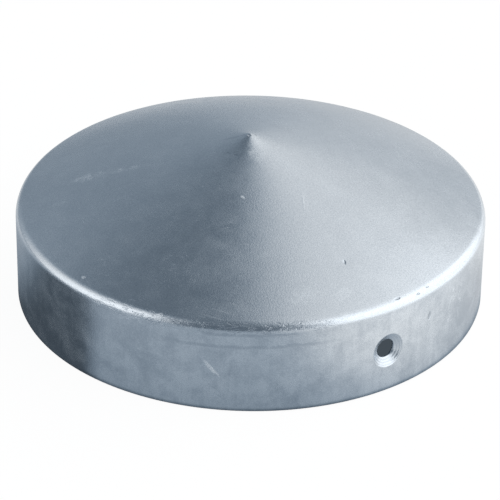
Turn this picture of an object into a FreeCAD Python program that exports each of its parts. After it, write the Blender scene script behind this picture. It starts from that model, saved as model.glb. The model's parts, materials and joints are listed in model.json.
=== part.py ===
import FreeCAD, Part
import math
import os

from FreeCAD import Vector

# Fence post cap for a 100 mm round post, drawn in one piece from 1.5 mm sheet aluminium.
# Millimetres, +Z up. The origin is the centre of the open rim, where the cap's lower edge lies.
# The two screw holes are on the X axis, one each side.

# Driving dimensions.
POST_DIAMETER = 100.0            # the round post that the cap goes over
POST_CLEARANCE = 0.5             # gap all round between post and skirt
SHEET = 1.5                      # wall thickness of the drawn sheet
SKIRT_STRAIGHT = 19.1            # rim to the start of the shoulder's bend
SHOULDER_RADIUS = 2.6            # outside radius of the bend between skirt and crown
EDGE_BREAK = 0.3                 # broken corners of the trimmed rim

# The crown rises as a shallow cone that is rounder near its edge and has a small drawn point.
CONE_SLOPE = 0.266               # rise over run of the crown half way in
EDGE_SLOPE = 0.440               # rise over run where the crown meets the shoulder
POINT_EXTRA_SLOPE = 0.200        # how much steeper the crown is at its very point
POINT_REACH = 2.6                # how fast that steepness dies away from the axis
POINT_BLUNTNESS = 0.5            # rounds the point off instead of leaving it sharp
POINT_WALL = 1.9                 # sheet measured straight down under the point
INNER_POINT_START = 3.0          # inside this radius the inner face runs flat to the axis
CROWN_STATIONS = 14              # places where the crown curve is worked out

# Screw holes for a 4 mm countersunk wood screw, made with a drill of the usual 118 degree point.
HOLE_HEIGHT = 9.9
HOLE_DIAMETER = 4.2
COUNTERSINK_DIAMETER = 8.0
DRILL_POINT_ANGLE = 118.0
CUTTER_OVERRUN = 1.0             # how far a cutter stands proud of the wall it cuts

# Worked out from those.
INNER_RADIUS = POST_DIAMETER / 2 + POST_CLEARANCE
OUTER_RADIUS = INNER_RADIUS + SHEET
SHOULDER_AXIS_RADIUS = OUTER_RADIUS - SHOULDER_RADIUS
EDGE_ANGLE = math.atan(EDGE_SLOPE)
CROWN_EDGE_RADIUS = SHOULDER_AXIS_RADIUS + SHOULDER_RADIUS * math.sin(EDGE_ANGLE)
CROWN_EDGE_HEIGHT = SKIRT_STRAIGHT + SHOULDER_RADIUS * math.cos(EDGE_ANGLE)


def crown_slope(radius):
    """Rise over run of the outer crown at this distance from the axis."""
    rounding = (EDGE_SLOPE - CONE_SLOPE) * (radius / CROWN_EDGE_RADIUS) ** 2
    point = POINT_EXTRA_SLOPE * math.exp(-radius / POINT_REACH)
    return CONE_SLOPE + rounding + point


def sharp_crown_height(radius):
    """Height of the outer crown, from its slope summed inwards from the shoulder."""
    edge = CROWN_EDGE_RADIUS
    cone = CONE_SLOPE * (edge - radius)
    rounding = (EDGE_SLOPE - CONE_SLOPE) * (edge ** 3 - radius ** 3) / (3 * edge ** 2)
    fade = math.exp(-radius / POINT_REACH) - math.exp(-edge / POINT_REACH)
    point = POINT_EXTRA_SLOPE * POINT_REACH * fade
    return CROWN_EDGE_HEIGHT + cone + rounding + point


def outer_crown_points():
    """Points of the outer crown from the shoulder to the axis, closer together near the point."""
    points = []
    for station in range(CROWN_STATIONS, -1, -1):
        radius = CROWN_EDGE_RADIUS * (station / CROWN_STATIONS) ** 2
        blunted = math.hypot(radius, POINT_BLUNTNESS * (1 - radius / CROWN_EDGE_RADIUS))
        points.append(Vector(radius, 0, sharp_crown_height(blunted)))
    return points


def inner_crown_points(outer):
    """The outer points moved in by the sheet's thickness, with a flat run under the point."""
    points = []
    for point in outer:
        if point.x > INNER_POINT_START:
            tilt = math.atan(crown_slope(point.x))
            inwards = Vector(-math.sin(tilt), 0, -math.cos(tilt))
            points.append(point + inwards * SHEET)
    points.append(outer[-1] - Vector(0, 0, POINT_WALL))
    return points


def crown_curve(points):
    """Smooth edge through the points, leaving the shoulder at its slope and level at the axis."""
    leaving = Vector(-math.cos(EDGE_ANGLE), 0, math.sin(EDGE_ANGLE))
    curve = Part.BSplineCurve()
    curve.interpolate(Points=points, InitialTangent=leaving, FinalTangent=Vector(-1, 0, 0))
    return curve.toShape()


def shoulder_point(radius, tilt):
    """Point on a bend about the shoulder's axis, tilt being measured from straight up."""
    across = SHOULDER_AXIS_RADIUS + radius * math.sin(tilt)
    return Vector(across, 0, SKIRT_STRAIGHT + radius * math.cos(tilt))


def shoulder_arc(radius):
    """The bend from the upright skirt to the slope of the crown's edge."""
    halfway = (math.pi / 2 + EDGE_ANGLE) / 2
    start = shoulder_point(radius, math.pi / 2)
    end = shoulder_point(radius, EDGE_ANGLE)
    return Part.Arc(start, shoulder_point(radius, halfway), end).toShape()


def run_of_lines(*points):
    """Straight edges from each point to the next."""
    return [Part.makeLine(a, b) for a, b in zip(points, points[1:])]


def shell_profile():
    """Half section of the sheet: rim, inner face, axis and outer face as one closed face."""
    outer = outer_crown_points()
    inner = inner_crown_points(outer)
    outer_face = [shoulder_arc(SHOULDER_RADIUS), crown_curve(outer)]
    inner_face = [shoulder_arc(SHOULDER_RADIUS - SHEET), crown_curve(inner)]
    rim = run_of_lines(
        Vector(OUTER_RADIUS, 0, SKIRT_STRAIGHT),
        Vector(OUTER_RADIUS, 0, EDGE_BREAK),
        Vector(OUTER_RADIUS - EDGE_BREAK, 0, 0),
        Vector(INNER_RADIUS + EDGE_BREAK, 0, 0),
        Vector(INNER_RADIUS, 0, EDGE_BREAK),
        Vector(INNER_RADIUS, 0, SKIRT_STRAIGHT),
    )
    axis = run_of_lines(outer[-1], inner[-1])
    edges = Part.__sortEdges__(rim + outer_face + axis + inner_face)
    return Part.Face(Part.Wire(edges))


def screw_hole_cutter(side):
    """Drill and countersink for the hole on +X (side 1) or -X (side -1)."""
    outwards = Vector(side, 0, 0)
    centre = Vector(side * OUTER_RADIUS, 0, HOLE_HEIGHT)
    spread = math.tan(math.radians(DRILL_POINT_ANGLE / 2))
    depth = (COUNTERSINK_DIAMETER - HOLE_DIAMETER) / 2 / spread
    mouth = COUNTERSINK_DIAMETER / 2 + CUTTER_OVERRUN * spread
    length = depth + CUTTER_OVERRUN
    cone = Part.makeCone(HOLE_DIAMETER / 2, mouth, length, centre - outwards * depth, outwards)
    reach = SHEET + 2 * CUTTER_OVERRUN
    start = centre - outwards * (SHEET + CUTTER_OVERRUN)
    drill = Part.makeCylinder(HOLE_DIAMETER / 2, reach, start, outwards)
    return cone.fuse(drill)


def cap_shell():
    """The whole cap: one revolved sheet with its two countersunk holes."""
    shell = shell_profile().revolve(Vector(0, 0, 0), Vector(0, 0, 1), 360)
    for side in (1, -1):
        shell = shell.cut(screw_hole_cutter(side))
    return shell.Solids[0]


os.makedirs("parts", exist_ok=True)
cap = cap_shell()
cap.exportStep("parts/cap_shell.step")
box = cap.optimalBoundingBox()
print("cap_shell valid", cap.isValid(), "volume mm3", round(cap.Volume, 1))
print("size", round(box.XLength, 3), round(box.YLength, 3), round(box.ZLength, 3))
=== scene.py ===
# %% [markdown]
# # A drawn sheet-metal post cap
# The object is a cap for a round fence post. A press pulls one flat disc of soft aluminium into a
# short tube with a shallow pointed roof, and two countersunk screw holes are drilled through the
# skirt afterwards. Nothing else is added, so the whole lesson is about one skin of metal: a true
# profile, a clean hole, small honest damage, and a surface that reflects like handled bare sheet.

# %% Load the frame
import json
import math

import bmesh
import bpy
from mathutils import Matrix, Vector, noise


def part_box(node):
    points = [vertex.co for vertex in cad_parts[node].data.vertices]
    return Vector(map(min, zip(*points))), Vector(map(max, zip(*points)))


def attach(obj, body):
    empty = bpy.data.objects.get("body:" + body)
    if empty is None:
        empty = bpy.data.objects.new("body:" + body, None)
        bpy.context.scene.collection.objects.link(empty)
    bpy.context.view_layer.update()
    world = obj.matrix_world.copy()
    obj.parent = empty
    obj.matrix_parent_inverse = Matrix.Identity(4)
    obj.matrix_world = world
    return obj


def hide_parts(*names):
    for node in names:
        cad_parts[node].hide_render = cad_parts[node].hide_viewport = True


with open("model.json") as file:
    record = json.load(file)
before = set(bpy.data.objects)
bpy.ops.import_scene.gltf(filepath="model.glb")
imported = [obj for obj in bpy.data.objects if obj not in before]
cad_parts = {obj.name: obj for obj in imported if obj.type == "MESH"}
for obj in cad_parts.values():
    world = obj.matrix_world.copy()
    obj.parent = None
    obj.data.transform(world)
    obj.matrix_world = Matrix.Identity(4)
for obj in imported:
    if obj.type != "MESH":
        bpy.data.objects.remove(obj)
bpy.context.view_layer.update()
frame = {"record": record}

# %% [markdown]
# The frame gives the cap's outside size and the record gives the screw holes. The other sizes are
# those of the sheet and of its bends, in metres. They have to be said again here because the frame
# holds only the finished surfaces.

# %% Sizes of the cap
MM = 0.001
lowest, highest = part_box("cap_shell")
CAP_RADIUS = (highest.x - lowest.x) / 2
CAP_HEIGHT = highest.z
mounts = {mount["name"]: mount for mount in frame["record"]["mounts"]}
INNER_RADIUS = mounts["post_socket"]["dims"]["r_mm"] * MM
SHEET = CAP_RADIUS - INNER_RADIUS
HOLE_RADIUS = mounts["screw_hole_front"]["dims"]["r_mm"] * MM
HOLE_HEIGHT = mounts["screw_hole_front"]["pos_m"][2]
SKIRT_STRAIGHT = 19.1 * MM
SHOULDER_RADIUS = 2.6 * MM
EDGE_BREAK = 0.3 * MM
COUNTERSINK_RADIUS = 4.0 * MM
DRILL_SPREAD = math.tan(math.radians(118 / 2))
print("radius", CAP_RADIUS, "height", CAP_HEIGHT, "sheet", round(SHEET, 5), "hole", HOLE_RADIUS)

# %% [markdown]
# ## Camera
# The cap is seen from about 31 degrees above, through a long lens, so its rim and shoulder are
# nearly true ellipses. One screw hole sits a little over a third of the way round to the right.
# Everything is worked out from the cap's own radius, so the view keeps its framing.

# %% Camera
VIEW_AZIMUTH = math.radians(55.5)
VIEW_ELEVATION = math.radians(31.18)
VIEW_DISTANCE = 12 * CAP_RADIUS
AIM_HEIGHT = 0.1663 * CAP_RADIUS
ROLL = math.radians(0.9)
LENS = 199.3


def around(azimuth, elevation, distance, centre=Vector((0, 0, 0))):
    """A place seen from the centre at this azimuth (0 is -Y, 90 degrees is +X) and elevation."""
    level = math.cos(elevation)
    direction = Vector((math.sin(azimuth) * level, -math.cos(azimuth) * level, math.sin(elevation)))
    return centre + direction * distance


def aimed(place, target, roll=0.0):
    """The matrix of something at a place that looks down its own -Z axis at the target."""
    turn = (target - place).to_track_quat("-Z", "Y").to_matrix().to_4x4()
    return Matrix.Translation(place) @ turn @ Matrix.Rotation(roll, 4, "Z")


lens = bpy.data.cameras.new("camera")
lens.sensor_width = 36
lens.lens = LENS
camera = bpy.data.objects.new("camera", lens)
bpy.context.collection.objects.link(camera)
camera.matrix_world = aimed(
    around(VIEW_AZIMUTH, VIEW_ELEVATION, VIEW_DISTANCE), Vector((0, 0, AIM_HEIGHT)), ROLL
)
bpy.context.scene.camera = camera
print("camera at", [round(v, 3) for v in camera.location])

# %% [markdown]
# ## The profile
# The crown looks like a plain cone at first, but its slope changes all the way: gentlest part way
# in, rounder towards the edge, and steeper in a little drawn point at the middle. A formula for the
# slope says that in one line, and summing it gives the height. The inner face is the same curve
# moved in by the sheet's thickness, as it is on any pressing.

# %% Crown curve
CONE_SLOPE = 0.266
EDGE_SLOPE = 0.440
POINT_EXTRA_SLOPE = 0.200
POINT_REACH = 2.6 * MM
POINT_BLUNTNESS = 0.5 * MM
POINT_WALL = 1.9 * MM
EDGE_ANGLE = math.atan(EDGE_SLOPE)
SHOULDER_AXIS = CAP_RADIUS - SHOULDER_RADIUS
CROWN_EDGE = SHOULDER_AXIS + SHOULDER_RADIUS * math.sin(EDGE_ANGLE)
CROWN_EDGE_HEIGHT = SKIRT_STRAIGHT + SHOULDER_RADIUS * math.cos(EDGE_ANGLE)


def crown_slope(radius):
    """Rise over run of the crown at this distance from the axis."""
    rounding = (EDGE_SLOPE - CONE_SLOPE) * (radius / CROWN_EDGE) ** 2
    return CONE_SLOPE + rounding + POINT_EXTRA_SLOPE * math.exp(-radius / POINT_REACH)


def crown_height(radius):
    """Height of the crown's outer face, with its point blunted."""
    reach = math.hypot(radius, POINT_BLUNTNESS * (1 - radius / CROWN_EDGE))
    cone = CONE_SLOPE * (CROWN_EDGE - reach)
    rounding = (EDGE_SLOPE - CONE_SLOPE) * (CROWN_EDGE**3 - reach**3) / (3 * CROWN_EDGE**2)
    fade = math.exp(-reach / POINT_REACH) - math.exp(-CROWN_EDGE / POINT_REACH)
    return CROWN_EDGE_HEIGHT + cone + rounding + POINT_EXTRA_SLOPE * POINT_REACH * fade


print("crown rises from", round(CROWN_EDGE_HEIGHT, 5), "to", round(crown_height(0), 5))

# %% [markdown]
# The half section runs from the point down the outside, round the trimmed rim and back up the
# inside to the axis. The outside gets more stations than the inside, because dents and waviness
# need points to move. The rim's corners are broken, as a trimming die leaves them.

# %% Half section
CROWN_STATIONS = 72
SHOULDER_STATIONS = 14
SKIRT_STATIONS = 24
INNER_CROWN_STATIONS = 20
INNER_SHOULDER_STATIONS = 5
POINT_CROWDING = 1.25
INNER_POINT_START = 3.0 * MM


def outer_crown():
    """Stations from the axis to the shoulder, closer together near the point."""
    shares = [(k / CROWN_STATIONS) ** POINT_CROWDING for k in range(CROWN_STATIONS + 1)]
    return [Vector((CROWN_EDGE * s, 0, crown_height(CROWN_EDGE * s))) for s in shares]


def inner_crown():
    """Stations of the inner face from the shoulder to the axis."""
    stations = []
    for k in range(INNER_CROWN_STATIONS, 0, -1):
        radius = INNER_POINT_START + (CROWN_EDGE - INNER_POINT_START) * k / INNER_CROWN_STATIONS
        tilt = math.atan(crown_slope(radius))
        outside = Vector((radius, 0, crown_height(radius)))
        stations.append(outside - SHEET * Vector((math.sin(tilt), 0, math.cos(tilt))))
    stations.append(Vector((0, 0, crown_height(0) - POINT_WALL)))
    return stations


def shoulder(radius, first_tilt, last_tilt, stations):
    """Stations of the bend, without its two ends."""
    bend = []
    for k in range(1, stations):
        tilt = first_tilt + (last_tilt - first_tilt) * k / stations
        across = SHOULDER_AXIS + radius * math.sin(tilt)
        bend.append(Vector((across, 0, SKIRT_STRAIGHT + radius * math.cos(tilt))))
    return bend


def skirt_and_rim():
    """Down the outer skirt, round the rim's broken corners and up the inner skirt."""
    rise = (SKIRT_STRAIGHT - EDGE_BREAK) / SKIRT_STATIONS
    heights = [EDGE_BREAK + rise * k for k in range(SKIRT_STATIONS + 1)]
    outside = [Vector((CAP_RADIUS, 0, z)) for z in reversed(heights)]
    inside = [Vector((INNER_RADIUS, 0, z)) for z in heights]
    soft = EDGE_BREAK * (1 - math.sqrt(0.5))
    outer_corner = [Vector((CAP_RADIUS - soft, 0, soft)), Vector((CAP_RADIUS - EDGE_BREAK, 0, 0))]
    inner_corner = [Vector((INNER_RADIUS + EDGE_BREAK, 0, 0)), Vector((INNER_RADIUS + soft, 0, soft))]
    return outside + outer_corner + inner_corner + inside


UPRIGHT = math.pi / 2
half_section = (
    outer_crown()
    + shoulder(SHOULDER_RADIUS, EDGE_ANGLE, UPRIGHT, SHOULDER_STATIONS)
    + skirt_and_rim()
    + shoulder(SHOULDER_RADIUS - SHEET, UPRIGHT, EDGE_ANGLE, INNER_SHOULDER_STATIONS)
    + inner_crown()
)
print("half section has", len(half_section), "stations")

# %% [markdown]
# Turning the section about the axis makes the whole shell in one step, as a lathe or a round die
# would. A full spin with use_merge closes the seam, and merging by distance closes the two poles.

# %% Spin the shell
TURN_STEPS = 480
WELD_DISTANCE = 0.002 * MM


def spun_shell(section):
    """A closed shell of revolution from the half section."""
    shell = bmesh.new()
    verts = [shell.verts.new(station) for station in section]
    edges = [shell.edges.new(pair) for pair in zip(verts, verts[1:])]
    bmesh.ops.spin(
        shell, geom=verts + edges, cent=(0, 0, 0), axis=(0, 0, 1), angle=math.tau,
        steps=TURN_STEPS, use_merge=True,
    )
    bmesh.ops.remove_doubles(shell, verts=shell.verts, dist=WELD_DISTANCE)
    bmesh.ops.recalc_face_normals(shell, faces=shell.faces)
    return shell


shell = spun_shell(half_section)
print("shell", len(shell.faces), "faces, open edges", sum(e.is_boundary for e in shell.edges))

# %% [markdown]
# ## Screw holes
# A boolean cut leaves long thin triangles that spoil the shine of the skirt. Instead a square
# window of faces is taken out of the outer and inner skin, and its edge is extruded ring by ring:
# first to a circle on the skirt, then over the worn lip, down the countersink and through the land.
# A hand-held countersink chatters, so the cone has faint steps.

# %% Screw hole rings
WINDOW_COLUMNS = 8
WINDOW_HALF_HEIGHT = 5.6 * MM
SKIN_TOLERANCE = 0.1 * MM
MOUTH_ROUNDS = 6
FACE = 0
CUT = 1
INSIDE = 2
CONE_RINGS = 14
CHATTER = 0.022 * MM
CHATTER_RINGS = 3.5
CHATTER_FADE = 6


def skin_depth(radius, across):
    """How far a cylinder of this radius has curved away from its tangent at a distance across."""
    return radius - math.sqrt(radius**2 - across**2)


def window_edges(shell, side, radius):
    """Takes a square window out of one skin round the hole and returns the edges round it."""
    half_width = CAP_RADIUS * math.tau / TURN_STEPS * WINDOW_COLUMNS
    inside = []
    for face in shell.faces:
        middle = face.calc_center_median()
        near = abs(middle.y) < half_width and abs(middle.z - HOLE_HEIGHT) < WINDOW_HALF_HEIGHT
        on_it = abs(math.hypot(middle.x, middle.y) - radius) < SKIN_TOLERANCE
        if near and on_it and middle.x * side > 0:
            inside.append(face)
    rim = {e for f in inside for e in f.edges if any(g not in inside for g in e.link_faces)}
    bmesh.ops.delete(shell, geom=inside, context="FACES")
    return [edge for edge in rim if edge.is_valid]


def next_ring(shell, edges, place):
    """Extrudes a loop of edges once and puts each new vertex where place(angle) says."""
    made = bmesh.ops.extrude_edge_only(shell, edges=edges)["geom"]
    verts = [item for item in made if isinstance(item, bmesh.types.BMVert)]
    verts.sort(key=lambda v: math.atan2(v.co.z - HOLE_HEIGHT, v.co.y))
    for index, vert in enumerate(verts):
        vert.co = place(-math.pi + math.tau * (index + 0.5) / len(verts))
    return [item for item in made if isinstance(item, bmesh.types.BMEdge)]


def mouth_radius(angle):
    """Where the countersink's cone meets the round skirt, a little nearer at the sides."""
    radius = COUNTERSINK_RADIUS
    for _ in range(MOUTH_ROUNDS):
        radius = COUNTERSINK_RADIUS - DRILL_SPREAD * skin_depth(CAP_RADIUS, radius * math.cos(angle))
    return radius


def on_skin(side, radius, beyond):
    """Ring on a skin, this far beyond the countersink's mouth."""
    def place(angle):
        reach = mouth_radius(angle) + beyond
        across = reach * math.cos(angle)
        out = radius - skin_depth(radius, across)
        return Vector((side * out, across, HOLE_HEIGHT + reach * math.sin(angle)))

    return place


def in_cone(side, share):
    """Ring in the countersink, at a share of the way from its mouth to the land."""
    def place(angle):
        reach = mouth_radius(angle) * (1 - share) + HOLE_RADIUS * share
        chatter = CHATTER * math.sin(share * math.tau * CHATTER_RINGS)
        chatter *= min(1, CHATTER_FADE * (1 - share))
        depth = (COUNTERSINK_RADIUS - reach) / DRILL_SPREAD + chatter * min(1, CHATTER_FADE * share)
        out = side * (CAP_RADIUS - depth)
        return Vector((out, reach * math.cos(angle), HOLE_HEIGHT + reach * math.sin(angle)))

    return place


def in_land(side, out, reach):
    """Ring in the short straight hole below the countersink."""
    def place(angle):
        return Vector((side * out, reach * math.cos(angle), HOLE_HEIGHT + reach * math.sin(angle)))
    return place


print("countersink is", round((COUNTERSINK_RADIUS - HOLE_RADIUS) / DRILL_SPREAD / MM, 2), "mm deep")

# %% [markdown]
# Both holes are cut alike, one on +X and one on -X. The first rings stay with the skin, so that its
# shine runs up to a crisp edge. The rings in the cone and in the land are marked as cut metal.

# %% Cut both holes
OUTER_RINGS_MM = (0.9, 0.5, 0.2, 0.08)
INNER_RINGS_MM = (0.6, -0.8, HOLE_RADIUS / MM - 3.9)
FIRST_SHARE = 0.02
LAND_MARGIN = 0.12 * MM


def cut_screw_hole(shell, side):
    """One countersunk hole through the skirt, on +X (side 1) or -X (side -1)."""
    faces_before = set(shell.faces)
    edges = window_edges(shell, side, CAP_RADIUS)
    for beyond in OUTER_RINGS_MM:
        edges = next_ring(shell, edges, on_skin(side, CAP_RADIUS, beyond * MM))
    skin_faces = set(shell.faces) - faces_before
    for k in range(CONE_RINGS + 1):
        share = FIRST_SHARE + (1 - FIRST_SHARE) * k / CONE_RINGS
        edges = next_ring(shell, edges, in_cone(side, share))
    edges = next_ring(shell, edges, in_land(side, INNER_RADIUS + LAND_MARGIN, HOLE_RADIUS))
    bore_faces = set(shell.faces) - faces_before - skin_faces
    inner = window_edges(shell, side, INNER_RADIUS)
    for beyond in INNER_RINGS_MM:
        inner = next_ring(shell, inner, on_skin(side, INNER_RADIUS, beyond * MM))
    bmesh.ops.bridge_loops(shell, edges=edges + inner)
    for face in bore_faces:
        face.material_index = CUT


for side in (1, -1):
    cut_screw_hole(shell, side)
bmesh.ops.recalc_face_normals(shell, faces=shell.faces)
print("with holes", len(shell.faces), "open edges", sum(e.is_boundary for e in shell.edges))

# %% [markdown]
# ## A skin that has been through a press
# No pressing is a perfect surface of revolution. The sheet waves a few hundredths of a millimetre
# where the die gripped it, the bend has fine wrinkles, and knocks leave shallow dents. A bump map
# could fake that, but moving the real vertices also bends the long highlights, which is where the
# eye looks for it. Every move is inwards, so the cap never grows past its drawn size.

# %% Dents


def crown_place(azimuth, radius):
    """A place on the crown, its azimuth in degrees from -Y."""
    turn = math.radians(azimuth)
    return Vector((radius * math.sin(turn), -radius * math.cos(turn), crown_height(radius)))


def skirt_place(azimuth, height, radius=CAP_RADIUS):
    """A place on the skirt or the bend, its azimuth in degrees from -Y."""
    turn = math.radians(azimuth)
    return Vector((radius * math.sin(turn), -radius * math.cos(turn), height))


DENTS = (
    (crown_place(86, 39.2 * MM), 1.6 * MM, 0.060 * MM),
    (crown_place(12, 7.2 * MM), 1.3 * MM, 0.030 * MM),
    (crown_place(27, 6.9 * MM), 1.2 * MM, 0.025 * MM),
    (crown_place(310, 33.0 * MM), 3.5 * MM, 0.060 * MM),
    (crown_place(200, 27.0 * MM), 2.6 * MM, 0.050 * MM),
    (skirt_place(103, 13.9 * MM), 1.8 * MM, 0.110 * MM),
    (skirt_place(30, 7.5 * MM), 4.0 * MM, 0.050 * MM),
    (skirt_place(222, 12.0 * MM), 3.0 * MM, 0.070 * MM),
)
print(len(DENTS), "dents, the deepest", max(depth for _, _, depth in DENTS) / MM, "mm")

# %% [markdown]
# Waves, wrinkles and dents are added up into one depth for every point of the outer skin. Noise
# gives the waves and the wrinkles, and a smooth bump gives each dent. Nothing moves near the holes,
# so their rings stay true.

# %% Press the skin
SKIRT_WAVE = 0.035 * MM
CROWN_WAVE = 0.030 * MM
BEND_WRINKLE = 0.011 * MM
SKIRT_WAVE_WIDTH = 7 * MM
CROWN_WAVE_WIDTH = 11 * MM
WRINKLE_WIDTH = 1.5 * MM
SKIRT_WAVE_SQUEEZE = 0.15
HOLE_CLEARANCE = 5.0 * MM
WORN_SIDES = (47, 250)
WORN_CORE = 15.6
WORN_EDGE = 39.0


def smooth_step(value, low, high):
    """0 below low, 1 above high and smooth between them."""
    share = min(1, max(0, (value - low) / (high - low)))
    return share * share * (3 - 2 * share)


def level_direction(azimuth):
    """The level direction at an azimuth in degrees from -Y."""
    turn = math.radians(azimuth)
    return Vector((math.sin(turn), -math.cos(turn), 0))


def worn_side(place, flat):
    """1 where the worn parts of the die wrinkled the bend, 0 elsewhere."""
    low = math.cos(math.radians(WORN_EDGE))
    high = math.cos(math.radians(WORN_CORE))
    return max(smooth_step(place.dot(level_direction(side)) / flat, low, high) for side in WORN_SIDES)


def press_depth(place):
    """How far the pressed and handled skin lies inside the true shape at this place."""
    flat = math.hypot(place.x, place.y)
    on_skirt = smooth_step(flat, CROWN_EDGE - 6 * MM, CAP_RADIUS)
    upright = noise.noise(Vector((place.x, place.y, place.z * SKIRT_WAVE_SQUEEZE)) / SKIRT_WAVE_WIDTH)
    wave = SKIRT_WAVE * on_skirt * (0.5 + 0.5 * upright)
    wave += CROWN_WAVE * (1 - on_skirt) * (0.5 + 0.5 * noise.noise(place / CROWN_WAVE_WIDTH))
    bend = smooth_step(flat, CROWN_EDGE - 2 * MM, CROWN_EDGE) * smooth_step(place.z, 17 * MM, 20 * MM)
    if bend > 0:
        wrinkle = BEND_WRINKLE * bend * worn_side(place, flat)
        wave += wrinkle * (0.5 + 0.5 * noise.noise(place / WRINKLE_WIDTH))
    for centre, reach, depth in DENTS:
        gap = (place - centre).length / reach
        if gap < 2.5:
            wave += depth * math.exp(-2 * gap * gap)
    from_hole = math.hypot(place.y, place.z - HOLE_HEIGHT)
    return wave * smooth_step(from_hole, HOLE_CLEARANCE, HOLE_CLEARANCE + 3 * MM)


moves = {}
for vert in shell.verts:
    flat = math.hypot(vert.co.x, vert.co.y)
    tilt_out = vert.normal.x * vert.co.x + vert.normal.y * vert.co.y
    is_outer = vert.normal.z > 0.5 or tilt_out > 0.5 * flat
    if is_outer and vert.co.z > EDGE_BREAK and flat > 0.5 * MM:
        moves[vert] = vert.normal * -press_depth(vert.co)
for vert, move in moves.items():
    vert.co += move
furthest = max(move.length for move in moves.values())
print("moved", len(moves), "points, at most", round(furthest / MM, 3), "mm")

# %% [markdown]
# The punch that raised the point wandered a little, so the point leans to one side by less than half
# a millimetre. Both skins lean together, and the lean dies away within a few millimetres.

# %% Lean the point
TIP_LEAN = 0.45 * MM
TIP_LEAN_REACH = 7.0 * MM
LEAN_AZIMUTH = 325
for vert in shell.verts:
    flat = math.hypot(vert.co.x, vert.co.y)
    if vert.co.z > CROWN_EDGE_HEIGHT:
        share = math.exp(-((flat / TIP_LEAN_REACH) ** 2))
        vert.co += level_direction(LEAN_AZIMUTH) * (TIP_LEAN * share)
print("point leans towards azimuth", LEAN_AZIMUTH, "by", round(TIP_LEAN / MM, 2), "mm")

# %% [markdown]
# The press skin, the faces that a tool has cut and the dull inside each want their own finish, so
# every face is sorted by which way it looks. The countersinks are already marked as cut.

# %% Sort the faces
for face in shell.faces:
    face.smooth = True
    middle = face.calc_center_median()
    flat = math.hypot(middle.x, middle.y)
    outwards = face.normal.z + (face.normal.x * middle.x + face.normal.y * middle.y) / flat
    if face.material_index == CUT:
        continue
    if middle.z < EDGE_BREAK:
        face.material_index = CUT
    elif outwards < 0:
        face.material_index = INSIDE
mesh = bpy.data.meshes.new("post_cap")
shell.to_mesh(mesh)
shell.free()
post_cap = bpy.data.objects.new("post_cap", mesh)
bpy.context.collection.objects.link(post_cap)
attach(post_cap, "root")
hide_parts("cap_shell")
counts = [sum(p.material_index == k for p in mesh.polygons) for k in (FACE, CUT, INSIDE)]
print("faces: skin, cut, inside", counts, "triangles", sum(len(p.vertices) - 2 for p in mesh.polygons))

# %% [markdown]
# ## Finishes
# Bare aluminium has almost no colour of its own, so its finish is in small changes: a point or two
# of brightness, a little roughness, and marks a few hundredths deep. They are all made from nodes on
# Object coordinates. Small helpers keep the node code readable: they add a node, do sums, make a soft
# step or a noise of a known size, and begin and place a group.

# %% Node helpers


def plug(tree, value, socket):
    """Joins a socket to an input, or sets the input if the value is a number or a vector."""
    if isinstance(value, bpy.types.NodeSocket):
        tree.links.new(value, socket)
    else:
        socket.default_value = value


def add_node(tree, kind, plugs=None, **settings):
    """Adds a shader node, sets its properties and fills its inputs by name or number."""
    made = tree.nodes.new("ShaderNode" + kind)
    for key, value in settings.items():
        setattr(made, key, value)
    for name, value in (plugs or {}).items():
        plug(tree, value, made.inputs[name])
    return made


def calc(tree, operation, *values):
    """The result of a Math node on sockets and numbers."""
    return add_node(tree, "Math", dict(enumerate(values)), operation=operation).outputs[0]


def fold(tree, operation, values):
    """One value from several, by the same sum again and again."""
    total = values[0]
    for value in values[1:]:
        total = calc(tree, operation, total, value)
    return total


def vector_calc(tree, operation, *values):
    """The result of a Vector Math node: a number for a dot product or a length."""
    made = add_node(tree, "VectorMath", dict(enumerate(values)), operation=operation)
    return made.outputs["Value" if operation in ("DOT_PRODUCT", "LENGTH") else "Vector"]


def dot(tree, place, direction):
    """How far a place or a direction lies along a direction."""
    return vector_calc(tree, "DOT_PRODUCT", place, direction)


def soft_step(tree, value, low, high, from_value=0.0, to_value=1.0):
    """From one value to another as the input goes from low to high."""
    plugs = {"Value": value, "From Min": low, "From Max": high, "To Min": from_value, "To Max": to_value}
    return add_node(tree, "MapRange", plugs, interpolation_type="SMOOTHSTEP").outputs["Result"]


def sized_noise(tree, place, size, detail, roughness=0.5, distortion=0.0):
    """Noise around 0.5 whose specks are about this size in metres."""
    scaled = vector_calc(tree, "DIVIDE", place, size)
    plugs = {"Vector": scaled, "Scale": 1.0, "Detail": detail, "Roughness": roughness}
    return add_node(tree, "TexNoise", {**plugs, "Distortion": distortion}).outputs["Fac"]


def new_group(name, takes, gives):
    """An empty node group, with its inner ends. Each input is a name, a kind and a first value."""
    group = bpy.data.node_groups.new(name, "ShaderNodeTree")
    for label, kind, value in takes:
        socket = group.interface.new_socket(label, in_out="INPUT", socket_type="NodeSocket" + kind)
        socket.default_value = value
    for label in gives:
        group.interface.new_socket(label, in_out="OUTPUT", socket_type="NodeSocketFloat")
    start = group.nodes.new("NodeGroupInput")
    end = group.nodes.new("NodeGroupOutput")
    return group, start.outputs, end.inputs


def use_group(tree, group, **plugs):
    """Places a group in a material and fills its inputs. Returns its outputs."""
    placed = add_node(tree, "Group", node_tree=group)
    for name, value in plugs.items():
        plug(tree, value, placed.inputs[name])
    return placed.outputs


NOWHERE = (0.0, 0.0, 0.0)
print("node helpers ready")

# %% [markdown]
# ### Grain
# Rolled and drawn sheet has a fine random grain, like very fine sandpaper. It is one noise, named by
# the size of its specks in metres, so each material can ask for a coarser or finer one.

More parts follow.
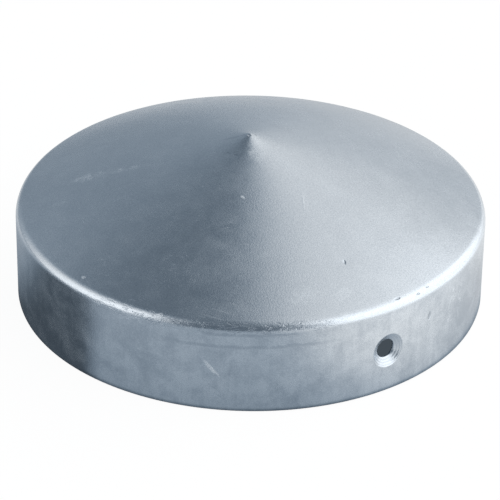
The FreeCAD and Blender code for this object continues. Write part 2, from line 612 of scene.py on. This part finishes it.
# %% Grain group
grain, takes, gives = new_group(
    "sheet grain", [("Place", "Vector", NOWHERE), ("Size", "Float", 0.0004)], ["Grain"]
)
tree = grain
specks = sized_noise(tree, takes["Place"], takes["Size"], detail=3.0, roughness=0.65)
plug(tree, soft_step(tree, specks, 0.25, 0.75), gives["Grain"])
print("grain group", len(grain.nodes), "nodes")

# %% [markdown]
# ### Clouds
# Bare aluminium goes blotchy where it was wet or greasy. The blotches have soft edges and smaller
# blotches inside them, so this noise has several octaves and is bent a little by itself.

# %% Clouds group
clouds, takes, gives = new_group(
    "oxide clouds", [("Place", "Vector", NOWHERE), ("Size", "Float", 0.009)], ["Clouds"]
)
tree = clouds
blots = sized_noise(tree, takes["Place"], takes["Size"], detail=6.0, roughness=0.62, distortion=0.5)
plug(tree, soft_step(tree, blots, 0.3, 0.7), gives["Clouds"])
print("clouds group", len(clouds.nodes), "nodes")

# %% [markdown]
# ### Draw streaks
# The die drags the sheet down over the punch and leaves upright streaks on the skirt. Squeezing the
# height of the pattern's coordinates draws a round noise out into streaks.

# %% Draw streaks group
STREAK_SQUEEZE = (1.0, 1.0, 0.07)
streaks, takes, gives = new_group(
    "draw streaks", [("Place", "Vector", NOWHERE), ("Width", "Float", 0.0009)], ["Streaks"]
)
tree = streaks
squeezed = vector_calc(tree, "MULTIPLY", takes["Place"], STREAK_SQUEEZE)
drawn_out = sized_noise(tree, squeezed, takes["Width"], detail=4.0, roughness=0.6)
plug(tree, soft_step(tree, drawn_out, 0.3, 0.7), gives["Streaks"])
print("streaks group", len(streaks.nodes), "nodes")

# %% [markdown]
# ### Fine scratches
# Caps rub on each other in the box. The scratches run in a few directions and come in patches, so
# each direction is a noise squeezed along one axis, cut off high so that only thin lines are left,
# and shown only where a slower noise lets it.

# %% Scratches group
SCRATCH_TURNS = ((0.0, 0.0, 0.4), (0.3, 0.0, 1.9), (1.1, 0.5, 1.2))
SCRATCH_SQUEEZE = (1.0, 0.035, 1.0)
PATCHES_PER_METRE = 110.0
scratches, takes, gives = new_group(
    "box scratches", [("Place", "Vector", NOWHERE), ("Width", "Float", 0.00022)], ["Scratches"]
)
tree = scratches
found = []
for turn in SCRATCH_TURNS:
    rotation = {"Vector": takes["Place"], "Rotation": turn}
    turned = add_node(tree, "VectorRotate", rotation, rotation_type="EULER_XYZ").outputs["Vector"]
    squeezed = vector_calc(tree, "MULTIPLY", turned, SCRATCH_SQUEEZE)
    hair = sized_noise(tree, squeezed, takes["Width"], detail=0.0)
    patch = add_node(tree, "TexNoise", {"Vector": turned, "Scale": PATCHES_PER_METRE, "Detail": 1.0})
    thin = soft_step(tree, hair, 0.70, 0.78)
    found.append(calc(tree, "MULTIPLY", thin, soft_step(tree, patch.outputs["Fac"], 0.52, 0.66)))
plug(tree, fold(tree, "MAXIMUM", found), gives["Scratches"])
print("scratches group", len(scratches.nodes), "nodes")

# %% [markdown]
# ### One struck mark
# A knock or a scrape is a small oval with a ragged edge. The group measures how far a place is from
# the mark's middle along and across it, each counted in the mark's own half length and half width,
# and noise roughens the outline. One group then serves for a nick, a scratch or a wide smear.
# Depth isn't measured, so a mark on the skirt also shows straight across the cap, on its far side.

# %% Mark group
mark, takes, gives = new_group(
    "struck mark",
    [
        ("Place", "Vector", NOWHERE), ("Middle", "Vector", NOWHERE), ("Along", "Vector", NOWHERE),
        ("Across", "Vector", NOWHERE), ("Raggedness", "Float", 0.6), ("Ragged Size", "Float", 0.0005),
    ],
    ["Mark"],
)
tree = mark
offset = vector_calc(tree, "SUBTRACT", takes["Place"], takes["Middle"])
along = dot(tree, offset, takes["Along"])
across = dot(tree, offset, takes["Across"])
along_squared = calc(tree, "POWER", calc(tree, "ABSOLUTE", along), 2.0)
across_squared = calc(tree, "POWER", calc(tree, "ABSOLUTE", across), 2.0)
gap = calc(tree, "SQRT", calc(tree, "ADD", along_squared, across_squared))
fray = sized_noise(tree, takes["Place"], takes["Ragged Size"], detail=3.0)
frayed = calc(tree, "MULTIPLY_ADD", calc(tree, "SUBTRACT", fray, 0.5), takes["Raggedness"], gap)
plug(tree, soft_step(tree, frayed, 1.0, 0.35), gives["Mark"])
print("mark group", len(mark.nodes), "nodes")

# %% [markdown]
# ### Sums that every finish needs
# Each finish ends in one brightness between a dull and a bright metal colour, a roughness, and a
# height in millimetres. The helpers here begin a material, weigh and add the patterns, and coat a
# shader with the sums. The two metal colours are nearly neutral with a little blue.

# %% Finish helpers
DULL_METAL = (0.598, 0.660, 0.725, 1.0)
BRIGHT_METAL = (0.842, 0.903, 0.960, 1.0)


def new_finish(name):
    """A material with its tree, its shader and its Object coordinates."""
    finish = bpy.data.materials.new(name)
    finish.use_nodes = True
    tree = finish.node_tree
    place = add_node(tree, "TexCoord").outputs["Object"]
    return finish, tree, tree.nodes["Principled BSDF"], place


def times(tree, *values):
    """The product of several values."""
    return fold(tree, "MULTIPLY", values)


def centred(tree, value, weight):
    """A 0 to 1 value made to swing evenly about zero, times a weight."""
    return times(tree, calc(tree, "SUBTRACT", value, 0.5), weight)


def add_all(tree, *values):
    """The sum of several values."""
    return fold(tree, "ADD", values)


def coat(tree, shader, brightness, roughness, heights, metallic=1.0):
    """Gives a shader its colour between the two metals, its roughness and its bumps in mm."""
    mix = add_node(tree, "Mix", {0: brightness, 6: DULL_METAL, 7: BRIGHT_METAL}, data_type="RGBA")
    bump = add_node(tree, "Bump", {"Height": heights, "Distance": MM, "Strength": 1.0})
    plug(tree, mix.outputs[2], shader.inputs["Base Color"])
    plug(tree, roughness, shader.inputs["Roughness"])
    plug(tree, bump.outputs["Normal"], shader.inputs["Normal"])
    plug(tree, metallic, shader.inputs["Metallic"])


print("finish helpers ready")

# %% [markdown]
# ### The drawn skin
# The outside is one satin sheet: cool grey clouds over all of it, upright streaks on the skirt only,
# and grain everywhere. The masks say where a place is: on the skirt, on the bend, near the point, or
# at the rim, where a thin band of painted shade darkens the foot.

# %% Drawn skin: places and patterns
LEVEL_ONLY = (1.0, 1.0, 0.0)
OTHER_CLOUDS = (0.3, 0.1, 0.2)
drawn_skin, tree, shader, place = new_finish("drawn satin skin")
split = add_node(tree, "SeparateXYZ", {0: place})
height = split.outputs["Z"]
level = vector_calc(tree, "MULTIPLY", place, LEVEL_ONLY)
radius = vector_calc(tree, "LENGTH", level)
on_skirt = soft_step(tree, height, SKIRT_STRAIGHT + 1 * MM, SKIRT_STRAIGHT - 1 * MM)
outer_band = soft_step(tree, radius, 50.6 * MM, 51.3 * MM)
upper_band = soft_step(tree, height, SKIRT_STRAIGHT - 1.2 * MM, SKIRT_STRAIGHT + 0.6 * MM)
on_bend = times(tree, outer_band, upper_band)
broad = use_group(tree, clouds, Place=place, Size=16 * MM)["Clouds"]
elsewhere = vector_calc(tree, "ADD", place, OTHER_CLOUDS)
small = use_group(tree, clouds, Place=elsewhere, Size=4.5 * MM)["Clouds"]
fine = use_group(tree, grain, Place=place, Size=0.33 * MM)["Grain"]
coarse = use_group(tree, grain, Place=place, Size=0.9 * MM)["Grain"]
drag = times(tree, use_group(tree, streaks, Place=place, Width=1.1 * MM)["Streaks"], on_skirt)
hairs = use_group(tree, scratches, Place=place, Width=0.24 * MM)["Scratches"]
near_point = soft_step(tree, radius, 12 * MM, 3 * MM)
# Painted shade: the colour darkens in a thin band along the bottom of the rim.
rim_painted_shade = soft_step(tree, height, 0.65 * MM, 0.2 * MM)
print("skin masks ready,", len(tree.nodes), "nodes")

# %% [markdown]
# Stretching opens the surface of the bend, most of all over the worn parts of the die. The torn
# grain is drawn out round the cap: its coordinates are the way round, the height and the radius, with
# the way round squeezed. Deep places are dark pits. High places get painted glints: pale specks in
# the colour, mainly on the side where the bend's highlight falls.

# %% Drawn skin: torn bend
BEND_STRETCH = 0.3
PIT_LEVELS = (0.42, 0.16)
GLINT_LEVELS = (0.76, 0.94)
GLINT_SIDE = 30
GLINT_CORE = 12
GLINT_EDGE = 26


def reach_at(degrees):
    """How far out the skirt is along a level direction, this many degrees round from it."""
    return CAP_RADIUS * math.cos(math.radians(degrees))


turn = calc(tree, "ARCTAN2", split.outputs["X"], times(tree, split.outputs["Y"], -1.0))
way_round = times(tree, turn, CAP_RADIUS * BEND_STRETCH)
stretched = add_node(tree, "CombineXYZ", {0: way_round, 1: height, 2: radius}).outputs[0]
torn = use_group(tree, grain, Place=stretched, Size=0.6 * MM)["Grain"]
parts = []
for side in WORN_SIDES:
    facing = dot(tree, place, level_direction(side))
    parts.append(soft_step(tree, facing, reach_at(WORN_EDGE), reach_at(WORN_CORE)))
worn = fold(tree, "MAXIMUM", parts)
on_worn = times(tree, on_bend, soft_step(tree, worn, 0.0, 1.0, 0.10, 1.0))
pits = times(tree, soft_step(tree, torn, *PIT_LEVELS), on_worn)
# Painted glints: high grain on the worn bend is made pale, mostly where the highlight falls.
painted_glints = times(tree, soft_step(tree, torn, *GLINT_LEVELS), on_worn)
bright_side = dot(tree, place, level_direction(GLINT_SIDE))
painted_glint_side = soft_step(tree, bright_side, reach_at(GLINT_EDGE), reach_at(GLINT_CORE), 0.1, 1.0)
painted_glints = times(tree, painted_glints, painted_glint_side)
print("torn bend ready,", len(tree.nodes), "nodes")

# %% [markdown]
# Single marks have their own places: an azimuth from -Y and a radius on the crown or a height on the
# skirt. Each oval has a heading, a half length and a half width in millimetres, then its raggedness,
# how much it brightens and how far it stands up. Fresh scrapes are pale. The dark marks are painted
# shade, in knocks and dents and in a long smudge beside the point. Two pale ones are painted light:
# a glint on the bend's highlight and the lit side of a dent.

# %% Single marks
LOWEST_CROWN_MARK = SKIRT_STRAIGHT + 2.2 * MM


def oval(middle, heading, half_length, half_width):
    """The mark group's inputs for an oval on the skin, its heading in degrees from level."""
    outwards = Vector((middle.x, middle.y, 0)).normalized()
    round_about = Vector((-outwards.y, outwards.x, 0))
    upright = Vector((0, 0, 1)) if middle.z < LOWEST_CROWN_MARK else -outwards
    turn = math.radians(heading)
    along = round_about * math.cos(turn) + upright * math.sin(turn)
    across = round_about * -math.sin(turn) + upright * math.cos(turn)
    return {"Middle": middle, "Along": along / (half_length * MM), "Across": across / (half_width * MM)}


SINGLE_MARKS = (
    (oval(skirt_place(46.6, 10.6 * MM), -52, 2.5, 0.60), 0.6, 1.20, 0.03),
    (oval(skirt_place(48.0, 9.4 * MM), -50, 1.9, 0.36), 0.5, 0.90, 0.02),
    # A knock on the skirt: painted shade in the dent, and next its lit side as a painted highlight.
    (oval(skirt_place(103, 13.9 * MM), 80, 1.20, 0.55), 0.6, -0.90, -0.10),
    (oval(skirt_place(101.6, 14.2 * MM), 80, 0.90, 0.30), 0.6, 0.50, 0.02),
    (oval(crown_place(86, 39.2 * MM), 70, 0.80, 0.34), 0.7, -0.80, -0.08),
    (oval(crown_place(50, 18.7 * MM), -35, 0.75, 0.42), 0.5, 1.10, 0.02),
    (oval(crown_place(10.5, 49.4 * MM), 10, 0.65, 0.40), 0.6, 0.90, 0.03),
    # A painted glint where the bend's highlight fades out.
    (oval(skirt_place(34.5, 21.0 * MM, 51.2 * MM), 5, 0.90, 0.28), 0.9, 0.90, 0.03),
    (oval(crown_place(228, 13.8 * MM), 5, 1.0, 0.18), 0.8, -0.30, -0.02),
    (oval(crown_place(11, 7.1 * MM), 0, 0.75, 0.34), 0.8, -1.30, -0.02),
    (oval(crown_place(26, 6.9 * MM), 0, 0.65, 0.32), 0.8, -1.30, -0.02),
    (oval(crown_place(5, 0.7 * MM), 10, 0.55, 0.42), 0.8, -1.60, -0.10),
    (oval(crown_place(165, 0.9 * MM), 20, 0.38, 0.30), 0.8, -1.00, -0.05),
    # A long smudge of painted shade beside the point.
    (oval(crown_place(322, 3.6 * MM), 88, 3.4, 0.50), 0.9, -0.45, -0.01),
    (oval(crown_place(87, 21.5 * MM), 62, 3.6, 0.22), 1.0, 0.35, 0.01),
    (oval(skirt_place(93, 21.2 * MM, 50.9 * MM), 0, 0.95, 0.20), 0.7, -1.20, -0.14),
    (oval(skirt_place(99, 20.6 * MM, 51.5 * MM), 0, 0.75, 0.20), 0.7, -1.10, -0.12),
    (oval(skirt_place(102.5, 20.9 * MM, 51.3 * MM), 0, 0.60, 0.18), 0.7, -1.00, -0.10),
)
mark_tones = []
cuts = []
for inputs, raggedness, brightening, depth in SINGLE_MARKS:
    placed = use_group(tree, mark, Place=place, Raggedness=raggedness, **inputs)["Mark"]
    mark_tones.append(times(tree, placed, brightening))
    cuts.append(times(tree, placed, depth))
scrapes_and_painted_light = add_all(tree, *mark_tones)
dig = add_all(tree, *cuts)
print(len(SINGLE_MARKS), "single marks joined,", len(tree.nodes), "nodes")

# %% [markdown]
# Wide smears are the same idea, only larger and faint: an oval, a raggedness and a strength. Two of
# them are painted highlights: the lit side of the point, and the bend's highlight running on down the
# skirt. Small clouds and coarse grain break them all up, so that they look like rubbed oxide and not
# like paint.

# %% Smears and painted highlights
PATCH_FRAY = {"Ragged Size": 1.2 * MM}
SMEARS_AND_PAINTED_LIGHT = (
    (oval(crown_place(327.5, 35.0 * MM), 86, 6.4, 1.9), 0.9, 0.48),
    (oval(crown_place(330, 27.5 * MM), 80, 5.0, 1.1), 0.9, 0.45),
    (oval(crown_place(337, 43.5 * MM), 80, 2.6, 0.9), 1.0, 0.30),
    (oval(crown_place(70, 45.3 * MM), 20, 5.0, 2.2), 1.8, 0.95),
    (oval(crown_place(80, 46.4 * MM), 10, 3.2, 1.6), 1.8, 0.65),
    (oval(crown_place(88, 22.0 * MM), 62, 5.5, 0.9), 1.4, 0.35),
    # A painted highlight on the lit side of the point.
    (oval(crown_place(70, 5.0 * MM), 80, 5.5, 2.6), 0.7, 0.72),
    # A painted highlight: the bend's highlight running on down the skirt.
    (oval(skirt_place(27, 18.9 * MM, 51.9 * MM), 0, 4.5, 1.4), 0.9, 0.45),
    (oval(skirt_place(112, 13.0 * MM), 84, 6.0, 1.6), 1.6, 0.42),
    (oval(skirt_place(116, 12.0 * MM), 84, 6.0, 0.9), 1.6, 0.40),
    (oval(skirt_place(48, 6.0 * MM), 70, 5.0, 3.0), 1.4, 0.22),
)
faint = []
for inputs, raggedness, strength in SMEARS_AND_PAINTED_LIGHT:
    placed = use_group(tree, mark, Place=place, Raggedness=raggedness, **PATCH_FRAY, **inputs)
    faint.append(times(tree, placed["Mark"], strength))
in_clouds = soft_step(tree, small, 0.1, 0.8, 0.35, 1.0)
in_grain = soft_step(tree, coarse, 0.34, 0.66, 0.20, 1.0)
smears_and_painted_light = times(tree, fold(tree, "MAXIMUM", faint), in_clouds, in_grain)
print(len(SMEARS_AND_PAINTED_LIGHT), "smears joined,", len(tree.nodes), "nodes")

# %% [markdown]
# The die also left dark draw lines round the front of the skirt. Each is a band at one height that
# wavers with the clouds and fades out to both sides. The highest, just under the bend, is darkest:
# it is a draw line and also a painted dark reflection, deepening the dark band that the bend mirrors.

# %% Draw lines and a painted reflection
LINE_FRONT = 56
LINE_WAVER = 0.35 * MM
FAINT_LINES = 0.65
LINE_CORE = CAP_RADIUS * 0.985
facing = dot(tree, level, level_direction(LINE_FRONT))
wavering = calc(tree, "MULTIPLY_ADD", calc(tree, "SUBTRACT", small, 0.5), LINE_WAVER, height)


def dark_band(at_height, half_width, half_spread):
    """A line round the skirt at a height, fading out this many degrees to both sides."""
    gap = calc(tree, "ABSOLUTE", calc(tree, "SUBTRACT", wavering, at_height))
    band = soft_step(tree, gap, half_width, half_width * 0.2)
    return times(tree, band, soft_step(tree, facing, reach_at(half_spread), LINE_CORE))


low_line = dark_band(15.9 * MM, 0.60 * MM, 24)
middle_line = dark_band(18.7 * MM, 0.50 * MM, 12)
lines_and_painted_reflection = times(tree, calc(tree, "MAXIMUM", low_line, middle_line), FAINT_LINES)
# The highest band is a draw line and a painted dark reflection under the bend.
lines_and_painted_reflection = calc(tree, "MAXIMUM", lines_and_painted_reflection, dark_band(20.25 * MM, 0.46 * MM, 24))
print("draw lines ready,", len(tree.nodes), "nodes")

# %% [markdown]
# Now the sums. Brightness starts half way between the two metal colours. The clouds are strong on the
# skirt and faint on the crown, and each pattern adds or takes away its own share.

# %% Brightness of the skin
cloud_weight = soft_step(tree, on_skirt, 0.0, 1.0, 0.24, 1.15)
cloudy = calc(tree, "ADD", centred(tree, broad, 0.60), centred(tree, small, 0.50))
cloudy = times(tree, cloud_weight, cloudy)
speckle = soft_step(tree, near_point, 0.0, 1.0, 0.62, 0.80)
speckled = times(tree, calc(tree, "SUBTRACT", fine, 0.5), speckle)
dragged = times(tree, centred(tree, drag, 0.34), times(tree, on_skirt, broad))
brightness = add_all(
    tree, 0.5, cloudy, speckled, dragged, times(tree, hairs, 0.20), times(tree, pits, -0.60),
    times(tree, painted_glints, 0.60), times(tree, lines_and_painted_reflection, -0.80), times(tree, rim_painted_shade, -0.80), scrapes_and_painted_light, smears_and_painted_light,
)
print("skin brightness ready,", len(tree.nodes), "nodes")

# %% [markdown]
# Roughness stays near a quarter, since satin sheet still mirrors broad shapes. It rises with clouds,
# smears and painted highlights, and falls near the point, which the punch rubbed smoother. Oxide and
# scrapes scatter light instead of mirroring it, so the skin is a little less metallic there. The
# painted glints and highlights are made less metallic too, so all of them stay pale even where the
# mirror is dark.

# %% Roughness, bumps and haze of the skin
SATIN_ROUGHNESS = 0.235
roughness = add_all(
    tree, SATIN_ROUGHNESS, centred(tree, small, 0.06), centred(tree, broad, 0.05),
    times(tree, smears_and_painted_light, 0.25), times(tree, hairs, 0.08), times(tree, near_point, -0.05),
)
heights = add_all(
    tree, centred(tree, fine, 0.009), times(tree, drag, 0.003), times(tree, hairs, -0.003),
    times(tree, pits, -0.03), times(tree, lines_and_painted_reflection, -0.020), dig,
)
haze = add_all(
    tree, times(tree, calc(tree, "MAXIMUM", scrapes_and_painted_light, 0.0), 0.55), times(tree, smears_and_painted_light, 0.30),
    times(tree, painted_glints, 0.25), times(tree, calc(tree, "MAXIMUM", cloudy, 0.0), 0.10),
)
coat(tree, shader, brightness, roughness, heights, calc(tree, "SUBTRACT", 1.0, haze))
print("drawn skin has", len(tree.nodes), "nodes")

# %% [markdown]
# ### Cut faces
# The countersink and the trimmed rim show bare cut metal with the tool's path in it, bright on the
# ridges and dull in the grooves. The countersink's rings lie round the hole's axis, which is level,
# so the distance from that axis gives them. On the rim the same distance is large and the rings
# become long lines round the cap.

# %% Cut metal material
RING_PITCH = 0.54 * MM
RING_WANDER = 0.18 * MM
cut_metal, tree, shader, place = new_finish("fresh cut metal")
split = add_node(tree, "SeparateXYZ", {0: place})
sideways = split.outputs["Y"]
up = calc(tree, "SUBTRACT", split.outputs["Z"], HOLE_HEIGHT)
from_axis = calc(tree, "SQRT", calc(tree, "ADD", times(tree, up, up), times(tree, sideways, sideways)))
small = use_group(tree, clouds, Place=place, Size=1.5 * MM)["Clouds"]
fine = use_group(tree, grain, Place=place, Size=0.22 * MM)["Grain"]
hairs = use_group(tree, scratches, Place=place, Width=0.2 * MM)["Scratches"]
wandering = calc(tree, "MULTIPLY_ADD", centred(tree, small, 1.0), RING_WANDER, from_axis)
wave = calc(tree, "SINE", times(tree, calc(tree, "DIVIDE", wandering, RING_PITCH), math.tau))
rings = calc(tree, "MULTIPLY_ADD", wave, 0.5, 0.5)
brightness = add_all(
    tree, 0.22, centred(tree, rings, 0.55), centred(tree, small, 0.25), centred(tree, fine, 0.25),
    times(tree, hairs, 0.2),
)
roughness = add_all(tree, 0.26, centred(tree, small, 0.10), centred(tree, rings, 0.05))
heights = add_all(tree, times(tree, rings, 0.014), centred(tree, fine, 0.006))
coat(tree, shader, brightness, roughness, heights)
print("cut metal has", len(tree.nodes), "nodes")

# %% [markdown]
# ### The inside
# Nobody wipes the inside, so it stays duller and rougher, with the punch's streaks and dried drawing
# soap in blotches.

# %% Dull inside material
dull_inside, tree, shader, place = new_finish("dull inside metal")
broad = use_group(tree, clouds, Place=place, Size=12 * MM)["Clouds"]
small = use_group(tree, clouds, Place=place, Size=3 * MM)["Clouds"]
fine = use_group(tree, grain, Place=place, Size=0.5 * MM)["Grain"]
drag = use_group(tree, streaks, Place=place, Width=1.4 * MM)["Streaks"]
hairs = use_group(tree, scratches, Place=place, Width=0.3 * MM)["Scratches"]
brightness = add_all(
    tree, 0.18, centred(tree, broad, 0.40), centred(tree, small, 0.25), centred(tree, fine, 0.20),
    centred(tree, drag, 0.25), times(tree, hairs, 0.25),
)
roughness = add_all(tree, 0.42, centred(tree, broad, 0.16), centred(tree, small, 0.10))
heights = add_all(tree, centred(tree, fine, 0.012), times(tree, drag, 0.008))
coat(tree, shader, brightness, roughness, heights)
for finish in (drawn_skin, cut_metal, dull_inside):
    mesh.materials.append(finish)
print("dull inside has", len(tree.nodes), "nodes; slots", [m.name for m in mesh.materials])

# %% [markdown]
# ## Studio
# Polished or satin metal is a picture of what stands round it, so the studio decides how the cap
# reads. A large pale light wraps round the right from the floor to overhead, a smaller one stands low
# on the left, and the gap towards the viewer is left darker, which gives the crown its shaded side.
# Real softboxes fade at their edges. Painting them on the world as soft steps does that exactly.

# %% Studio helpers
scene = bpy.context.scene
scene.view_settings.view_transform = "Standard"
TO_RIGHT = Vector((math.cos(VIEW_AZIMUTH), math.sin(VIEW_AZIMUTH), 0))
TO_NEAR = Vector((math.sin(VIEW_AZIMUTH), -math.cos(VIEW_AZIMUTH), 0))
UP = Vector((0, 0, 1))
COOL = (0.80, 1.0, 1.21, 1.0)
NEUTRAL = (1.0, 1.0, 1.0, 1.0)
BACKDROP = 0.60


def towards(azimuth):
    """A level direction, its azimuth in degrees from the viewer's side, right being positive."""
    turn = math.radians(azimuth)
    return TO_RIGHT * math.sin(turn) + TO_NEAR * math.cos(turn)


def edge(tree, where, facing, offset, softness):
    """1 beyond a straight edge of a light, 0 on this side of it."""
    side = dot(tree, where, facing)
    return soft_step(tree, side, offset - softness, offset + softness)


def tinted(tree, tone):
    """A cool colour for a dark tone and a neutral one for a bright tone."""
    share = soft_step(tree, tone, 0.03, 0.80)
    return add_node(tree, "Mix", {0: share, 6: COOL, 7: NEUTRAL}, data_type="RGBA").outputs[2]


print("viewer stands towards", [round(v, 2) for v in TO_NEAR])

# %% [markdown]
# The world gets its tone from the direction alone. The right light is the part in front of the back
# wall, brighter towards the viewer's side and fading overhead. The left light fades overhead as well.
# The room itself is dim, and paler towards the back. To the eye the backdrop is one pale grey.

# %% World
world = bpy.data.worlds.new("studio")
scene.world = world
world.use_nodes = True
tree = world.node_tree
where = add_node(tree, "TexCoord").outputs["Generated"]
up = dot(tree, where, UP)
right_front = edge(tree, where, towards(120), offset=0.0, softness=0.23)
right_far = edge(tree, where, TO_RIGHT - 0.06 * UP, offset=0.0, softness=0.14)
right_main = edge(tree, where, towards(48), offset=0.0, softness=0.16)
right_level = times(tree, right_main, soft_step(tree, up, 0.45, 1.0, 0.90, 0.05))
right_level = calc(tree, "ADD", right_level, soft_step(tree, up, 0.15, 0.80, 0.27, 0.58))
right_light = times(tree, right_front, right_far, right_level)
left_front = edge(tree, where, towards(-130), offset=0.02, softness=0.10)
left_back = edge(tree, where, towards(-35), offset=0.12, softness=0.62)
left_top = soft_step(tree, up, 0.45, 0.90, 1.02, 0.0)
left_light = times(tree, left_front, left_back, left_top)
room = soft_step(tree, dot(tree, where, -TO_NEAR), 0.40, 1.0, 0.165, 0.305)
tone = add_all(tree, room, right_light, left_light)
sky = tree.nodes["Background"]
seen = add_node(tree, "LightPath").outputs["Is Camera Ray"]
unseen = calc(tree, "SUBTRACT", 1.0, seen)
shown = calc(tree, "ADD", times(tree, tone, unseen), times(tree, seen, BACKDROP))
plug(tree, shown, sky.inputs["Strength"])
plug(tree, tinted(tree, calc(tree, "MAXIMUM", tone, seen)), sky.inputs["Color"])
print("world has", len(tree.nodes), "nodes")

# %% [markdown]
# The floor is a white sweep of paper, a fraction of a millimetre below the rim.

# %% Floor sheet
FLOOR_HALF_SIZE = 4
FLOOR_DROP = 0.2 * MM
floor_sheet = bmesh.new()
bmesh.ops.create_grid(floor_sheet, x_segments=2, y_segments=2, size=FLOOR_HALF_SIZE)
floor_mesh = bpy.data.meshes.new("floor")
floor_sheet.to_mesh(floor_mesh)
floor_sheet.free()
floor = bpy.data.objects.new("floor", floor_mesh)
bpy.context.collection.objects.link(floor)
floor.location.z = -FLOOR_DROP
print("floor is", 2 * FLOOR_HALF_SIZE, "m wide")

# %% [markdown]
# What the metal mirrors is the floor's light, painted on it as a glow: a painted pool of light to the
# right, where the big light falls, painted shade close to the cap, a thin painted shadow at its foot,
# and a dark painted shadow on the left. Under the cap the glow is dim. All of it is a tone that
# depends on the place on the floor.

# %% Floor as the metal mirrors it
UNDER_CAP_GLOW = 0.075
floor_paper, tree, paper, place = new_finish("floor paper")
right = dot(tree, place, TO_RIGHT)
near = dot(tree, place, TO_NEAR)
away = vector_calc(tree, "LENGTH", place)
outside = soft_step(tree, away, INNER_RADIUS - 1 * MM, INNER_RADIUS + 1 * MM)
# A painted shadow on the left of the cap, seen only in what the metal mirrors.
painted_shadow_front = calc(tree, "MULTIPLY_ADD", right, 0.14, near)
painted_shadow = times(
    tree, soft_step(tree, painted_shadow_front, 0.0395, 0.0305), soft_step(tree, near, -0.020, 0.024),
    soft_step(tree, right, -0.025, -0.034), soft_step(tree, right, -0.30, -0.08),
)
close_right = soft_step(tree, right, 0.006, 0.050, 0.0, 0.38)
to_the_right = calc(tree, "ADD", close_right, soft_step(tree, right, 0.055, 0.16, 0.0, 0.6))
to_the_right = times(tree, to_the_right, soft_step(tree, near, -0.015, -0.09, 1.0, 0.0))
pale = add_all(tree, 0.36, to_the_right, soft_step(tree, near, 0.0, -0.06, 0.0, 0.25))
dimmer_close = soft_step(tree, away, CAP_RADIUS, CAP_RADIUS + 25 * MM, 0.82, 1.06)
foot_shadow = soft_step(tree, away, CAP_RADIUS + 0.2 * MM, CAP_RADIUS + 1.6 * MM, 0.50, 1.0)
pale = times(tree, pale, dimmer_close, soft_step(tree, painted_shadow, 0.0, 1.0, 1.0, 0.25), foot_shadow)
bearing = vector_calc(tree, "NORMALIZE", place)
far_right = soft_step(tree, dot(tree, bearing, TO_RIGHT), -0.2, 0.9, 0.0, 1.0)
far_front = soft_step(tree, dot(tree, bearing, towards(120)), -0.28, 0.28)
far = calc(tree, "MULTIPLY_ADD", far_right, far_front, 0.30)
distant = soft_step(tree, away, 0.09, 0.32)
far_part = times(tree, far, distant)
tone = calc(tree, "ADD", far_part, times(tree, pale, calc(tree, "SUBTRACT", 1.0, distant)))
tone = calc(tree, "MAXIMUM", times(tree, tone, outside), UNDER_CAP_GLOW)
mirrored = add_node(tree, "Emission", {"Color": tinted(tree, tone), "Strength": tone})
print("mirrored floor ready,", len(tree.nodes), "nodes")

# %% [markdown]
# To the eye the same floor is plain white paper with a faint shadow under the rim. It turns to the
# backdrop's pale grey a metre off, so no line shows where it ends. Under the cap it stays as the
# metal sees it, because that dim glow is what shows through a screw hole.

# %% Floor as the eye sees it
PAPER_WHITE = 1.07
GLOW_SHARE = 0.88
paper.inputs["Roughness"].default_value = 0.9
paper.inputs["Specular IOR Level"].default_value = 0.0
sweep = soft_step(tree, away, 0.24, 1.20, PAPER_WHITE, BACKDROP / GLOW_SHARE)
glow = add_node(tree, "Emission", {"Color": NEUTRAL, "Strength": sweep})
blend = add_node(tree, "MixShader", {0: times(tree, outside, GLOW_SHARE)})
tree.links.new(paper.outputs[0], blend.inputs[1])
tree.links.new(glow.outputs[0], blend.inputs[2])
seen = add_node(tree, "LightPath").outputs["Is Camera Ray"]
choice = add_node(tree, "MixShader", {0: times(tree, seen, outside)})
tree.links.new(mirrored.outputs[0], choice.inputs[1])
tree.links.new(blend.outputs[0], choice.inputs[2])
tree.links.new(choice.outputs[0], tree.nodes["Material Output"].inputs["Surface"])
floor_mesh.materials.append(floor_paper)
print("floor paper has", len(tree.nodes), "nodes")
